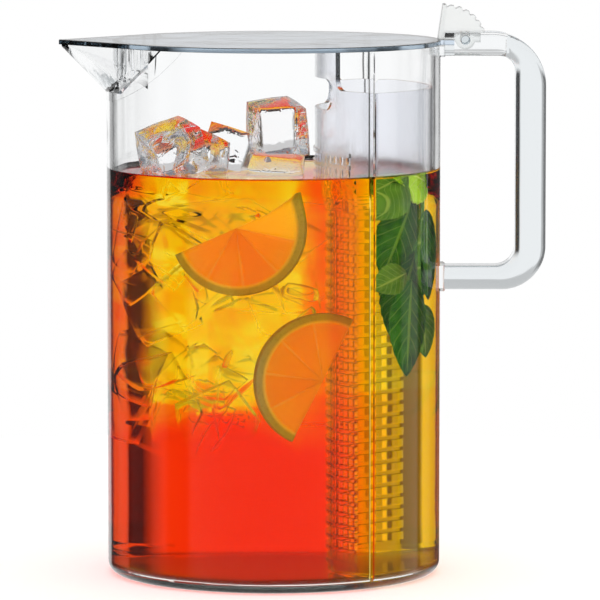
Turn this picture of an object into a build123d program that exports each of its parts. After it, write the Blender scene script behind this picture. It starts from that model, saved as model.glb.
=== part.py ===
"""Iced tea maker: a clear round jug with a hinged lid and a lift-out infuser.

Millimetres. +Z is up and the origin is on the jug's axis, in the plane it stands on.
The beak points to -X and the handle to +X, so the XZ plane is the plane of symmetry.
Heights that are measured down from the jug's rim have DROP in their names.
"""

import math
import os

from build123d import *

# ---------------------------------------------------------------- jug
JUG_RADIUS = 69.0
JUG_HEIGHT = 219.0
JUG_WALL = 2.8
BASE_THICKNESS = 3.6
BASE_OUTER_CORNER = 5.0
BASE_INNER_CORNER = 2.4

# ---------------------------------------------------------------- beak
BEAK_REACH = 19.3  # from the wall to where the tip would be sharp
BEAK_KEEL_DROP = 19.7  # where the keel meets the wall, below the rim
BEAK_SIDE_WALL = 2.1
BEAK_KEEL_WALL_X = 4.9  # thickness of the sloping floor, measured along X
BEAK_SIDE_BITE = 0.4  # how far the beak's flat sides cut into the round wall
BEAK_UPRIGHT_SHARE = 0.27  # share of the beak's depth where its sides stand upright
BEAK_TIP_BLUNT = 0.9  # how far back of the sharp tip the beak is cut off
BEAK_BACK = 19.3  # how far in from the wall's outer face the beak's scoop ends, along X
BEAK_ROOT_PROUD = 0.3  # the beak's root is a shield that stands proud of the wall
BEAK_ROOT_DROP = 22.4
BEAK_ROOT_FLAT = 3.0  # how far its lower edge runs level, along X from the wall
BEAK_ROOT_BULGE = 1.6
BEAK_ROOT_ANGLE = 58.0  # where the shield's edge meets the rim, from -X

# ---------------------------------------------------------------- strainer comb behind the beak
COMB_DEPTH = 2.2  # how far it stands in from the wall
COMB_ROOT = 0.4  # how far it is rooted in the wall
COMB_SLOTS = 15
COMB_PITCH = 5.5  # degrees
COMB_SLOT_WIDTH = 2.2
COMB_SLOT_DROP = 16.2  # lower end of the middle slot, below the rim
COMB_SLOPE_RUN = 13.3  # along X, over which the slots' lower ends rise to the rim
COMB_EDGE = 2.6  # solid band under the slots
COMB_SHOULDER = 6.0  # along X from the wall, over which the slots stay full length

# ---------------------------------------------------------------- handle
HANDLE_WIDTH = 20.0
HANDLE_REACH = 43.3  # from the wall to the grip's outer face
GRIP_THICKNESS = 12.6
TOP_LEG_ABOVE_RIM = 5.2
TOP_LEG_THICKNESS = 9.5
BOTTOM_LEG_THICKNESS = 9.7
BOTTOM_LEG_DROP = 101.0  # its underside, below the rim
HANDLE_TOP_OUTER_BEND = 22.0
HANDLE_TOP_INNER_BEND = 7.0
HANDLE_BOTTOM_OUTER_BEND = 18.0
HANDLE_BOTTOM_INNER_BEND = 8.0
HANDLE_EDGE = 2.2  # on the fork, which stays square for the hinge
GRIP_EDGE = 4.4  # on the grip and the bottom leg, which are rounded bars
PAD_PROUD = 2.0  # the jug's pads that the handle is welded to
PAD_MARGIN = 0.4
PAD_RIM_GAP = 0.3

# ---------------------------------------------------------------- hinge
HINGE_FROM_WALL = 9.9
HINGE_ABOVE_RIM = 2.2
PIN_RADIUS = 2.0
PIN_RUNNING_GAP = 0.06
PIN_END_CHAMFER = 0.3
BARREL_RADIUS = 4.0
FORK_SLOT = 12.0
FORK_SIDE_GAP = 0.4
FORK_FRONT_GAP = 0.5
FORK_SLOT_END_GAP = 0.8
FORK_STUB = 1.5  # square bar past the slot, before the rounded grip

# ---------------------------------------------------------------- lid
LID_THICKNESS = 2.0
LID_TIP_OVERHANG = 0.6
LID_TIP_ROUND = 1.0
LID_EDGE_ROUND = 0.4

# ---------------------------------------------------------------- thumb lever
LEVER_ARC_RADIUS = 16.2
LEVER_ARC_FROM_WALL = 2.9
LEVER_TEETH = 6
LEVER_FIRST_TOOTH = 85.6  # degrees up from +X
LEVER_TOOTH_PITCH = 12.2
LEVER_TOOTH_DEPTH = 1.1
LEVER_TOOTH_CREST = 0.35  # share of the pitch that a tooth is full height
LEVER_TOOTH_FLANK = 0.25  # share of the pitch that it falls in
LEVER_PLATE_THICKNESS = 1.5
LEVER_PLATE_WIDTH = 16.0
LEVER_PLATE_TOP = 16.6  # above the rim
LEVER_PLATE_FROM_WALL = -1.3  # its front face at the lid, from the jug's outer face
LEVER_PLATE_LEAN = 2.1  # how far its top is nearer the handle than its foot
LEVER_TAIL_FROM_HINGE = 6.3
LEVER_TAIL_BELOW_HINGE = -1.0
LEVER_EDGE = 0.4

# ---------------------------------------------------------------- infuser
INFUSER_WALL = 1.6
INFUSER_GAP = 0.5  # to the jug's wall
INFUSER_HALF_ANGLE = 52.0  # of its back shell, from +X
INFUSER_FRONT_X = 17.0  # the foremost point of its front screen
INFUSER_RIM_DROP = 17.0
INFUSER_FLOOR = 2.4
INFUSER_WALL_LIFT = 1.4  # the walls start this far above the jug's floor
INFUSER_FLOOR_CHAMFER = 0.7

GUIDE_RIB_WIDTH = 1.6
GUIDE_RIB_DEPTH = 2.0
GUIDE_RIB_GAP = 0.5
GUIDE_RIB_RIM_DROP = 0.6

TONGUE_LID_GAP = 1.2
TONGUE_TOP_HALF_WIDTH = 32.5
TONGUE_SHOULDER_RADIUS = 4.5
WINDOW_HALF_WIDTH = 28.5
WINDOW_TOP_DROP = 12.8
WINDOW_BOTTOM_DROP = 25.6
WINDOW_CORNER = 5.5

SCREEN_TOP_DROP = 43.0
SCREEN_BOTTOM_LIFT = 5.4  # above the jug's floor
SCREEN_ROWS = 34
SCREEN_COLUMNS = 18
SCREEN_HALF_ANGLE = 37.0  # seen from the centre of the front arc
SCREEN_RIB_PROUD = 0.7
SCREEN_RIB_HEIGHT = 1.7
SCREEN_BAR_WIDTH = 1.7

# ---------------------------------------------------------------- worked out
RIM = JUG_HEIGHT
INNER_RADIUS = JUG_RADIUS - JUG_WALL
CUT = 5.0  # how far a cutter runs past what it cuts
BITE = 1.0  # how far a skin or bar reaches into the wall that it joins
NEAR = 0.1  # how close an edge lies to the plane that it is picked by
SPAN = 4 * JUG_RADIUS  # wider than anything on the jug

BEAK_TIP_X = -(JUG_RADIUS + BEAK_REACH)
BEAK_BACK_X = -(JUG_RADIUS - BEAK_BACK)
BEAK_SLOPE = BEAK_KEEL_DROP / BEAK_REACH

HINGE_X = JUG_RADIUS + HINGE_FROM_WALL
HINGE_Z = RIM + HINGE_ABOVE_RIM
LEVER_WIDTH = FORK_SLOT - 2 * FORK_SIDE_GAP
LEVER_ARC_X = JUG_RADIUS + LEVER_ARC_FROM_WALL

INFUSER_BACK_RADIUS = INNER_RADIUS - INFUSER_GAP
INFUSER_RIM = RIM - INFUSER_RIM_DROP
INFUSER_WALL_FOOT = BASE_THICKNESS + INFUSER_WALL_LIFT

SCREEN_LOW = BASE_THICKNESS + SCREEN_BOTTOM_LIFT
SCREEN_PITCH = (RIM - SCREEN_TOP_DROP - SCREEN_LOW) / SCREEN_ROWS


def front_arc():
    """Centre X and radius of the screen's outer face: through its foremost point and both corners."""
    corner = math.radians(INFUSER_HALF_ANGLE)
    corner_x = INFUSER_BACK_RADIUS * math.cos(corner)
    corner_y = INFUSER_BACK_RADIUS * math.sin(corner)
    run = corner_x - INFUSER_FRONT_X
    radius = (run**2 + corner_y**2) / (2 * run)
    return INFUSER_FRONT_X + radius, radius


FRONT_X, FRONT_RADIUS = front_arc()


def rod(radius, low, high, x=0.0):
    """An upright cylinder between two heights."""
    return Pos(x, 0, low) * Cylinder(
        radius, high - low, align=(Align.CENTER, Align.CENTER, Align.MIN)
    )


def block(x0, x1, y0, y1, z0, z1):
    """A box between two corners."""
    return Pos((x0 + x1) / 2, (y0 + y1) / 2, (z0 + z1) / 2) * Box(x1 - x0, y1 - y0, z1 - z0)


def side_prism(outline, width):
    """A closed outline in the XZ plane, made a solid of the given width about y = 0."""
    face = Plane.XZ * make_face(outline)
    return extrude(face, amount=width / 2, both=True)


# ---------------------------------------------------------------- jug body


def beak_pyramid(tip_x, side_distance, slope):
    """A scoop that widens from its blunt tip at the rim to the plane x = BEAK_BACK_X.

    Its sides are upright planes at side_distance from the jug's axis, its floor falls with
    slope, and quarter ellipses join the two.
    """
    sections = []
    for x in (tip_x + BEAK_TIP_BLUNT, BEAK_BACK_X):
        run = x - tip_x
        half_width = run * math.tan(math.asin(side_distance / -tip_x))
        depth = run * slope
        upright = depth * BEAK_UPRIGHT_SHARE
        outline = Curve() + [
            Line((-half_width, 0), (-half_width, -upright)),
            EllipticalCenterArc(
                (0, -upright), half_width, depth - upright, start_angle=180, arc_size=180
            ),
            Line((half_width, -upright), (half_width, 0)),
            Line((half_width, 0), (-half_width, 0)),
        ]
        station = Plane((x, 0, RIM), x_dir=(0, 1, 0), z_dir=(1, 0, 0))
        sections.append(station * make_face(outline))
    return loft(sections, ruled=True)


def beak_root():
    """The shield round the beak: a skin on the wall above a curve that falls towards the beak."""
    end_x = -JUG_RADIUS * math.cos(math.radians(BEAK_ROOT_ANGLE))
    low = RIM - BEAK_ROOT_DROP
    left = -(JUG_RADIUS + CUT)
    flat_end = -JUG_RADIUS + BEAK_ROOT_FLAT
    middle = ((end_x + flat_end) / 2 + BEAK_ROOT_BULGE, (RIM + low) / 2 - BEAK_ROOT_BULGE)
    outline = Curve() + [
        Line((left, RIM), (left, low)),
        Line((left, low), (flat_end, low)),
        ThreePointArc((flat_end, low), middle, (end_x, RIM)),
        Line((end_x, RIM), (left, RIM)),
    ]
    skin = rod(JUG_RADIUS + BEAK_ROOT_PROUD, low - CUT, RIM) - rod(INNER_RADIUS + BITE, low - CUT, RIM)
    return skin & side_prism(outline, SPAN)


def comb_region(margin):
    """The side view of the comb's slots, grown by margin at their lower ends."""
    back = -(JUG_RADIUS + CUT)
    low = RIM - COMB_SLOT_DROP - margin
    knee_x = -INNER_RADIUS + COMB_SHOULDER
    end_x = knee_x + COMB_SLOPE_RUN + margin
    top = RIM + CUT
    points = [(back, top), (back, low), (knee_x, low), (end_x, RIM), (end_x, top)]
    return side_prism(Polyline(*points, close=True), SPAN)


def strainer_comb():
    """The curved wall behind the beak, with its upright slots open at the rim."""
    low = RIM - COMB_SLOT_DROP - COMB_EDGE
    wall = rod(INNER_RADIUS + COMB_ROOT, low, RIM) - rod(INNER_RADIUS - COMB_DEPTH, low, RIM)
    wall = wall & comb_region(COMB_EDGE)
    slots = []
    for index in range(COMB_SLOTS):
        angle = 180 + COMB_PITCH * (index - (COMB_SLOTS - 1) / 2)
        bar = block(
            INNER_RADIUS - COMB_DEPTH - BITE,
            INNER_RADIUS + COMB_ROOT + BITE,
            -COMB_SLOT_WIDTH / 2,
            COMB_SLOT_WIDTH / 2,
            low,
            RIM + BITE,
        )
        slots.append(Rot(0, 0, angle) * bar & comb_region(0))
    return wall - slots


def guide_ribs():
    """Two upright ribs on the jug's wall that the infuser's corners slide behind."""
    half = math.degrees((GUIDE_RIB_WIDTH / 2 + GUIDE_RIB_GAP) / INNER_RADIUS)
    rib = block(
        INNER_RADIUS - GUIDE_RIB_DEPTH,
        INNER_RADIUS + JUG_WALL / 2,
        -GUIDE_RIB_WIDTH / 2,
        GUIDE_RIB_WIDTH / 2,
        BASE_THICKNESS / 2,
        RIM - GUIDE_RIB_RIM_DROP,
    )
    angle = INFUSER_HALF_ANGLE + half
    return [Rot(0, 0, angle) * rib, Rot(0, 0, -angle) * rib]


def handle_pads():
    """Two pads on the wall, a little larger than the handle's ends."""
    half = HANDLE_WIDTH / 2 + PAD_MARGIN
    spans = [
        (RIM + TOP_LEG_ABOVE_RIM - TOP_LEG_THICKNESS - PAD_MARGIN, RIM - PAD_RIM_GAP),
        (
            RIM - BOTTOM_LEG_DROP - PAD_MARGIN,
            RIM - BOTTOM_LEG_DROP + BOTTOM_LEG_THICKNESS + PAD_MARGIN,
        ),
    ]
    pads = []
    for low, high in spans:
        ring = rod(JUG_RADIUS + PAD_PROUD, low, high) - rod(INNER_RADIUS + BITE, low, high)
        pads.append(ring & block(0, JUG_RADIUS + CUT, -half, half, low, high))
    return pads


def jug_body():
    """The jug with its beak, comb, guide ribs and handle pads, moulded in one."""
    outer = rod(JUG_RADIUS, 0, RIM)
    outer = fillet(outer.edges().sort_by(Axis.Z)[0], BASE_OUTER_CORNER)
    inner = rod(INNER_RADIUS, BASE_THICKNESS, RIM + CUT)
    inner = fillet(inner.edges().sort_by(Axis.Z)[0], BASE_INNER_CORNER)
    body = outer + beak_pyramid(BEAK_TIP_X, JUG_RADIUS - BEAK_SIDE_BITE, BEAK_SLOPE)
    body = body + beak_root()
    body = body - inner
    body = body - beak_pyramid(
        BEAK_TIP_X + BEAK_KEEL_WALL_X, JUG_RADIUS - BEAK_SIDE_WALL, BEAK_SLOPE
    )
    body = body + strainer_comb()
    for extra in guide_ribs() + handle_pads():
        body = body + extra
    return body


# ---------------------------------------------------------------- handle and hinge pin


def bend(corner, radius, start, end):
    """A quarter round at corner, from the side of start to the side of end."""
    cx = corner[0] + radius * (start[0] + end[0])
    cz = corner[1] + radius * (start[1] + end[1])
    first = (corner[0] + radius * start[0], corner[1] + radius * start[1])
    last = (corner[0] + radius * end[0], corner[1] + radius * end[1])
    toward = math.hypot(corner[0] - cx, corner[1] - cz)
    middle = (
        cx + (corner[0] - cx) * radius / toward,
        cz + (corner[1] - cz) * radius / toward,
    )
    return ThreePointArc(first, middle, last), first, last


def handle_outline():
    """The C of the handle in side view. Its two ends run into the jug, where they are cut off."""
    inside = INNER_RADIUS - CUT
    outer_x = JUG_RADIUS + HANDLE_REACH
    inner_x = outer_x - GRIP_THICKNESS
    top = RIM + TOP_LEG_ABOVE_RIM
    under_top = top - TOP_LEG_THICKNESS
    bottom = RIM - BOTTOM_LEG_DROP
    over_bottom = bottom + BOTTOM_LEG_THICKNESS
    left, right, up, down = (-1, 0), (1, 0), (0, 1), (0, -1)
    arc_a, a0, a1 = bend((outer_x, top), HANDLE_TOP_OUTER_BEND, left, down)
    arc_b, b0, b1 = bend((outer_x, bottom), HANDLE_BOTTOM_OUTER_BEND, up, left)
    arc_c, c0, c1 = bend((inner_x, over_bottom), HANDLE_BOTTOM_INNER_BEND, left, up)
    arc_d, d0, d1 = bend((inner_x, under_top), HANDLE_TOP_INNER_BEND, down, left)
    return Curve() + [
        Line((inside, top), a0),
        arc_a,
        Line(a1, b0),
        arc_b,
        Line(b1, (inside, bottom)),
        Line((inside, bottom), (inside, over_bottom)),
        Line((inside, over_bottom), c0),
        arc_c,
        Line(c1, d0),
        arc_d,
        Line(d1, (inside, under_top)),
        Line((inside, under_top), (inside, top)),
    ]


def rounded_bar(edge):
    """The handle's whole C with its long edges rounded."""
    bar = side_prism(handle_outline(), HANDLE_WIDTH)
    cut_ends = INNER_RADIUS - CUT + NEAR
    on_sides = [e for e in bar.edges() if abs(e.center().Y) > HANDLE_WIDTH / 2 - NEAR]
    return fillet([e for e in on_sides if e.center().X > cut_ends], edge)


def handle():
    """The C-shaped bar, welded to the jug's pads, its top leg slotted to a fork for the hinge."""
    slot_end = HINGE_X + LEVER_ARC_RADIUS + FORK_SLOT_END_GAP
    wide = HANDLE_WIDTH / 2 + CUT
    fork = block(-SPAN, slot_end + FORK_STUB, -wide, wide, RIM - TOP_LEG_THICKNESS, RIM + SPAN)
    bar = (rounded_bar(HANDLE_EDGE) & fork) + (rounded_bar(GRIP_EDGE) - fork)
    bar = bar - rod(JUG_RADIUS + PAD_PROUD, 0, RIM + TOP_LEG_ABOVE_RIM + CUT)
    slot_start = HINGE_X - BARREL_RADIUS - FORK_FRONT_GAP
    half = FORK_SLOT / 2
    floor = RIM - TOP_LEG_THICKNESS - CUT
    roof = RIM + TOP_LEG_ABOVE_RIM + CUT
    bar = bar - block(slot_start, slot_end, -half, half, floor, roof)
    bar = bar - block(JUG_RADIUS - CUT, slot_end, -half, half, RIM - PAD_RIM_GAP, roof)
    return bar - Pos(HINGE_X, 0, HINGE_Z) * Rot(90, 0, 0) * Cylinder(PIN_RADIUS, HANDLE_WIDTH + CUT)


def hinge_pin():
    """The pin that both of the fork's cheeks grip, with chamfered ends."""
    pin = Cylinder(PIN_RADIUS, HANDLE_WIDTH)
    pin = chamfer(pin.edges().filter_by(GeomType.CIRCLE), PIN_END_CHAMFER)
    return Pos(HINGE_X, 0, HINGE_Z) * Rot(90, 0, 0) * pin


# ---------------------------------------------------------------- lid


def lid():
    """A round plate with a straight-sided beak, and a neck that reaches between the fork's cheeks."""
    tip_x = BEAK_TIP_X - LID_TIP_OVERHANG
    tangent = math.acos(JUG_RADIUS / -tip_x)
    side_x = -JUG_RADIUS * math.cos(tangent)
    side_y = JUG_RADIUS * math.sin(tangent)
    beak = make_face(Polyline((tip_x, 0), (side_x, side_y), (side_x, -side_y), close=True))
    beak = fillet(beak.vertices().sort_by(Axis.X)[0], LID_TIP_ROUND)
    plan = Circle(JUG_RADIUS) + beak
    plate = Pos(0, 0, RIM) * extrude(plan, amount=LID_THICKNESS)
    top_edges = plate.edges().group_by(Axis.Z)[-1]
    plate = fillet(top_edges, LID_EDGE_ROUND)
    neck_end = HINGE_X - BARREL_RADIUS - FORK_FRONT_GAP
    half = LEVER_WIDTH / 2
    neck = block(INNER_RADIUS, neck_end, -half, half, RIM, RIM + LID_THICKNESS)
    return plate + neck


# ---------------------------------------------------------------- thumb lever


def lever_teeth():
    """Points of the serrated arc, from its top to its tail: a tip, then the valley after it."""
    points = []
    for index in range(LEVER_TEETH):
        angle = LEVER_FIRST_TOOTH - index * LEVER_TOOTH_PITCH
        for turn, radius in (
            (0, LEVER_ARC_RADIUS),
            (LEVER_TOOTH_CREST, LEVER_ARC_RADIUS),
            (LEVER_TOOTH_CREST + LEVER_TOOTH_FLANK, LEVER_ARC_RADIUS - LEVER_TOOTH_DEPTH),
        ):
            a = math.radians(angle - turn * LEVER_TOOTH_PITCH)
            points.append((LEVER_ARC_X + radius * math.cos(a), RIM + radius * math.sin(a)))
    return points


def thumb_lever():
    """A serrated quarter drum behind an upright plate, on a barrel that turns on the pin."""
    foot_x = JUG_RADIUS + LEVER_PLATE_FROM_WALL
    top_x = foot_x + LEVER_PLATE_LEAN
    foot = RIM + LID_THICKNESS
    top = RIM + LEVER_PLATE_TOP
    plate = side_prism(
        Polyline(
            (foot_x, foot),
            (foot_x + LEVER_PLATE_THICKNESS, foot),
            (top_x + LEVER_PLATE_THICKNESS, top),
            (top_x, top),
            close=True,
        ),
        LEVER_PLATE_WIDTH,
    )
    plate = fillet(plate.edges().filter_by(Axis.Y).sort_by(Axis.Z)[-2:], LEVER_EDGE)
    teeth = lever_teeth()
    tail_x = HINGE_X + LEVER_TAIL_FROM_HINGE
    drum = side_prism(
        Polyline(
            (foot_x + LEVER_PLATE_THICKNESS / 2, foot),
            (top_x + LEVER_PLATE_THICKNESS / 2, RIM + LEVER_ARC_RADIUS - LEVER_TOOTH_DEPTH),
            *teeth,
            (tail_x, teeth[-1][1] - LEVER_TOOTH_DEPTH),
            (tail_x, HINGE_Z + LEVER_TAIL_BELOW_HINGE),
            (HINGE_X, HINGE_Z + LEVER_TAIL_BELOW_HINGE),
            (HINGE_X, foot),
            close=True,
        ),
        LEVER_WIDTH,
    )
    axis = Pos(HINGE_X, 0, HINGE_Z) * Rot(90, 0, 0)
    barrel = axis * Cylinder(BARREL_RADIUS, LEVER_WIDTH)
    bore = axis * Cylinder(PIN_RADIUS + PIN_RUNNING_GAP, LEVER_PLATE_WIDTH + CUT)
    return plate + drum + barrel - bore


# ---------------------------------------------------------------- infuser


def infuser_back():
    """The shell along the jug's wall, butted against the inside of the screen."""
    shell = rod(INFUSER_BACK_RADIUS, INFUSER_WALL_FOOT, INFUSER_RIM)
    shell = shell - rod(INFUSER_BACK_RADIUS - INFUSER_WALL, 0, RIM)
    return shell & rod(FRONT_RADIUS - INFUSER_WALL, 0, RIM, FRONT_X)


def infuser_base():
    """The lens-shaped plate that closes the tube and stands on the jug's floor."""
    top = BASE_THICKNESS + INFUSER_FLOOR
    plate = rod(INFUSER_BACK_RADIUS - INFUSER_WALL, BASE_THICKNESS, top)
    plate = plate & rod(FRONT_RADIUS - INFUSER_WALL, BASE_THICKNESS, top, FRONT_X)
    return chamfer(plate.edges().group_by(Axis.Z)[0], INFUSER_FLOOR_CHAMFER)


def tongue_outline():
    """The tongue seen from the front, with round inside corners where it rises from the rim."""
    half = TONGUE_TOP_HALF_WIDTH
    top = RIM - TONGUE_LID_GAP
    radius = TONGUE_SHOULDER_RADIUS
    wide = 2 * JUG_RADIUS
    diagonal = radius * (1 - math.sqrt(0.5))
    return Curve() + [
        Line((-wide, 0), (wide, 0)),
        Line((wide, 0), (wide, INFUSER_RIM)),
        Line((wide, INFUSER_RIM), (half + radius, INFUSER_RIM)),
        ThreePointArc(
            (half + radius, INFUSER_RIM),
            (half + diagonal, INFUSER_RIM + diagonal),
            (half, INFUSER_RIM + radius),
        ),
        Line((half, INFUSER_RIM + radius), (half, top)),
        Line((half, top), (-half, top)),
        Line((-half, top), (-half, INFUSER_RIM + radius)),
        ThreePointArc(
            (-half, INFUSER_RIM + radius),
            (-half - diagonal, INFUSER_RIM + diagonal),
            (-half - radius, INFUSER_RIM),
        ),
        Line((-half - radius, INFUSER_RIM), (-wide, INFUSER_RIM)),
        Line((-wide, INFUSER_RIM), (-wide, 0)),
    ]


def front_prism(outline, depth):
    """A closed outline in the YZ plane, made a solid that runs from the jug's axis to depth."""
    face = Plane.YZ * make_face(outline)
    return extrude(face, amount=depth)


def screen_ribs():
    """Level ribs on the screen's outer face, one under each row of slots and one on top."""
    ribs = []
    half = math.radians(SCREEN_HALF_ANGLE)
    reach = (FRONT_RADIUS + SCREEN_RIB_PROUD) * math.sin(half)
    for row in range(SCREEN_ROWS + 1):
        level = SCREEN_LOW + row * SCREEN_PITCH
        low, high = level - SCREEN_RIB_HEIGHT / 2, level + SCREEN_RIB_HEIGHT / 2
        ring = rod(FRONT_RADIUS + SCREEN_RIB_PROUD, low, high, FRONT_X)
        ring = ring - rod(FRONT_RADIUS - INFUSER_WALL / 2, low, high, FRONT_X)
        ribs.append(ring & block(0, FRONT_X - FRONT_RADIUS / 2, -reach, reach, low, high))
    return ribs


def screen_slots():
    """Rows of slots between the ribs, each cut towards the centre of the front arc."""
    slots = []
    step = 2 * SCREEN_HALF_ANGLE / SCREEN_COLUMNS
    width = FRONT_RADIUS * math.radians(step) - SCREEN_BAR_WIDTH
    height = SCREEN_PITCH - SCREEN_RIB_HEIGHT
    for row in range(SCREEN_ROWS):
        level = SCREEN_LOW + (row + 0.5) * SCREEN_PITCH
        for column in range(SCREEN_COLUMNS):
            angle = 180 - SCREEN_HALF_ANGLE + (column + 0.5) * step
            slot = Pos(FRONT_RADIUS - INFUSER_WALL / 2, 0, level) * Box(3 * INFUSER_WALL, width, height)
            slots.append(Pos(FRONT_X, 0, 0) * Rot(0, 0, angle) * slot)
    return slots


def infuser_screen():
    """The bulging front panel: slotted below, plain above, with the tongue and its window."""
    panel = rod(INFUSER_BACK_RADIUS, INFUSER_WALL_FOOT, RIM - TONGUE_LID_GAP)
    panel = panel & rod(FRONT_RADIUS, 0, RIM, FRONT_X)
    panel = panel - rod(FRONT_RADIUS - INFUSER_WALL, 0, RIM, FRONT_X)
    panel = panel & front_prism(tongue_outline(), JUG_RADIUS)
    height = WINDOW_BOTTOM_DROP - WINDOW_TOP_DROP
    middle = RIM - (WINDOW_TOP_DROP + WINDOW_BOTTOM_DROP) / 2
    window = RectangleRounded(2 * WINDOW_HALF_WIDTH, height, WINDOW_CORNER)
    panel = panel - extrude(Plane.YZ * Pos(0, middle) * window, amount=FRONT_X - FRONT_RADIUS / 2)
    panel = panel + screen_ribs()
    return panel - screen_slots()


# ---------------------------------------------------------------- writing

NODES = {
    "jug_body": jug_body,
    "handle": handle,
    "hinge_pin": hinge_pin,
    "lid": lid,
    "thumb_lever": thumb_lever,
    "infuser_back": infuser_back,
    "infuser_screen": infuser_screen,
    "infuser_base": infuser_base,
}

os.makedirs("parts", exist_ok=True)
for name, make in NODES.items():
    export_step(make(), f"parts/{name}.step")
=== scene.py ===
"""Looks of a clear iced tea maker: its plastics, the tea, ice and fruit in it, and the mint in the infuser.

Metres. +Z is up, the beak points to -X and the handle to +X.
The plastic pieces are the frame's own. The contents are made here from numpy surfaces.
"""

import math

import bmesh
import bpy
import numpy as np
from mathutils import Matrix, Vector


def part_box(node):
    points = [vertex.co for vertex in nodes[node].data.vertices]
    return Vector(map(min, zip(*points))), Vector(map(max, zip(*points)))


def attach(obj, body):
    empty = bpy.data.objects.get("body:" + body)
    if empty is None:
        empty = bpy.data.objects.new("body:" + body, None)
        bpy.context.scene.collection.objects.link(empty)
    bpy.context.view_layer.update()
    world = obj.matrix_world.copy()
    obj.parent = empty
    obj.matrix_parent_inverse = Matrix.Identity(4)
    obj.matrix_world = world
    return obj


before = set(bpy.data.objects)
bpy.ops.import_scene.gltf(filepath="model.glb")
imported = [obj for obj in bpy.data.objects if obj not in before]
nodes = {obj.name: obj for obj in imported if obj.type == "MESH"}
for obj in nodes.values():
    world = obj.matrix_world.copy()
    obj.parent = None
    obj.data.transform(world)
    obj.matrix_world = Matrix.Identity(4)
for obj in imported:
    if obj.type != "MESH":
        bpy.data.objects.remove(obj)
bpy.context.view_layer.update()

MM = 0.001

# ---------------------------------------------------------------- sizes read from the frame
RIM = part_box("jug_body")[1].z
JUG_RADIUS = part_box("jug_body")[1].y
INFUSER_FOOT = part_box("infuser_base")[0].z
INFUSER_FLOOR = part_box("infuser_base")[1].z
SCREEN_FRONT_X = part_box("infuser_screen")[0].x
SCREEN_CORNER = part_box("infuser_screen")[1]

# The plastic's own thicknesses and clearances, which the frame doesn't give.
JUG_WALL = 2.8 * MM
INFUSER_WALL = 1.6 * MM
SCREEN_RIB = 0.7 * MM
INFUSER_GAP = 0.5 * MM  # between the infuser's back shell and the jug's wall
INFUSER_LIFT = 1.0 * MM  # how far it can rise under the closed lid
FLOOR_CORNER = 2.4 * MM  # round of the jug's inside at its floor
INNER_RADIUS = JUG_RADIUS - JUG_WALL

# ---------------------------------------------------------------- the fill
FILL_DROP = 52.0 * MM  # liquid level below the rim
LEVEL = RIM - FILL_DROP
WALL_BITE = 0.1 * MM  # the liquid wets the jug's wall
LIQUID_RADIUS = INNER_RADIUS + WALL_BITE
FOOT_BITE = 0.1 * MM  # the liquid's foot wets the jug's floor
LIQUID_FOOT = INFUSER_FOOT - FOOT_BITE
MENISCUS_HEIGHT = 1.4 * MM
MENISCUS_REACH = 2.2 * MM
TINT_INSET = 0.05 * MM  # tea and brew keep inside the liquid's outline
TINT_GAP = 0.25 * MM  # and off the infuser's plastic
BREW_CLEARANCE = 0.3 * MM  # over the infuser's floor when it is lifted
SEAT_FILM = 0.1 * MM  # height up to which the infuser's base counts as wet on the jug's floor

# ---------------------------------------------------------------- optics
PLASTIC_INDEX = 1.56
WETTED_INDEX = 1.05  # the infuser's plastic against the liquid, softened so that it is nearly lost
WATER_INDEX = 1.33
ICE_INDEX = 1.31
SUNKEN_ICE_INDEX = 0.984  # ice against water
AIR_POCKET_INDEX = 0.78  # air against water, a little softened
PLASTIC_DEPTH = (0.84, 0.87, 0.885)  # what clear plastic colours to where it is thick
CONTENTS_LIGHT = 1.8  # makes up for what the jug and the tea hold back

# ---------------------------------------------------------------- camera
CAMERA_X = 10.9 * MM
CAMERA_DISTANCE = 2.200
CAMERA_HEIGHT = 338.44 * MM
CAMERA_PITCH = 5.853  # degrees below the horizon
CAMERA_LENS = 320.0  # millimetres on a 36 mm sensor


def circle_through(front, corner):
    """Centre X and radius of the circle about the X axis through (front, 0) and (corner x, corner y)."""
    run = corner[0] - front
    radius = (run**2 + corner[1] ** 2) / (2 * run)
    return front + radius, radius


SCREEN_X, SCREEN_RADIUS = circle_through(
    SCREEN_FRONT_X + SCREEN_RIB, (SCREEN_CORNER.x, SCREEN_CORNER.y)
)


# ---------------------------------------------------------------- meshes


def mesh_piece(name, points, faces):
    """A smooth mesh object from an array of points and an array or list of faces."""
    mesh = bpy.data.meshes.new(name)
    mesh.from_pydata(np.asarray(points, float).tolist(), [], [tuple(f) for f in faces])
    mesh.update()
    mesh.polygons.foreach_set("use_smooth", np.ones(len(mesh.polygons), bool))
    piece = bpy.data.objects.new(name, mesh)
    bpy.context.scene.collection.objects.link(piece)
    return piece


def ring_faces(rows, columns):
    """Quads between rings of points that close on themselves, as an array of corner indices."""
    row, column = np.meshgrid(np.arange(rows - 1), np.arange(columns), indexing="ij")
    following = (column + 1) % columns
    quads = np.stack(
        [
            row * columns + column,
            row * columns + following,
            (row + 1) * columns + following,
            (row + 1) * columns + column,
        ],
        axis=-1,
    )
    return quads.reshape(-1, 4)


def closed_rings(rings, low_pole=None, high_pole=None):
    """Points and faces of a closed shell: rings joined in order, each end shut by a fan to a pole.

    rings has the shape (rows, columns, 3) and turns anticlockwise seen from its high end.
    """
    rings = np.asarray(rings, float)
    rows, columns = rings.shape[:2]
    low_pole = rings[0].mean(0) if low_pole is None else low_pole
    high_pole = rings[-1].mean(0) if high_pole is None else high_pole
    points = np.vstack([rings.reshape(-1, 3), low_pole, high_pole])
    low, high = rows * columns, rows * columns + 1
    here = np.arange(columns)
    there = (here + 1) % columns
    top = (rows - 1) * columns
    fans = [(there[i], here[i], low) for i in range(columns)]
    fans += [(top + here[i], top + there[i], high) for i in range(columns)]
    return points, list(map(tuple, ring_faces(rows, columns))) + fans


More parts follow.
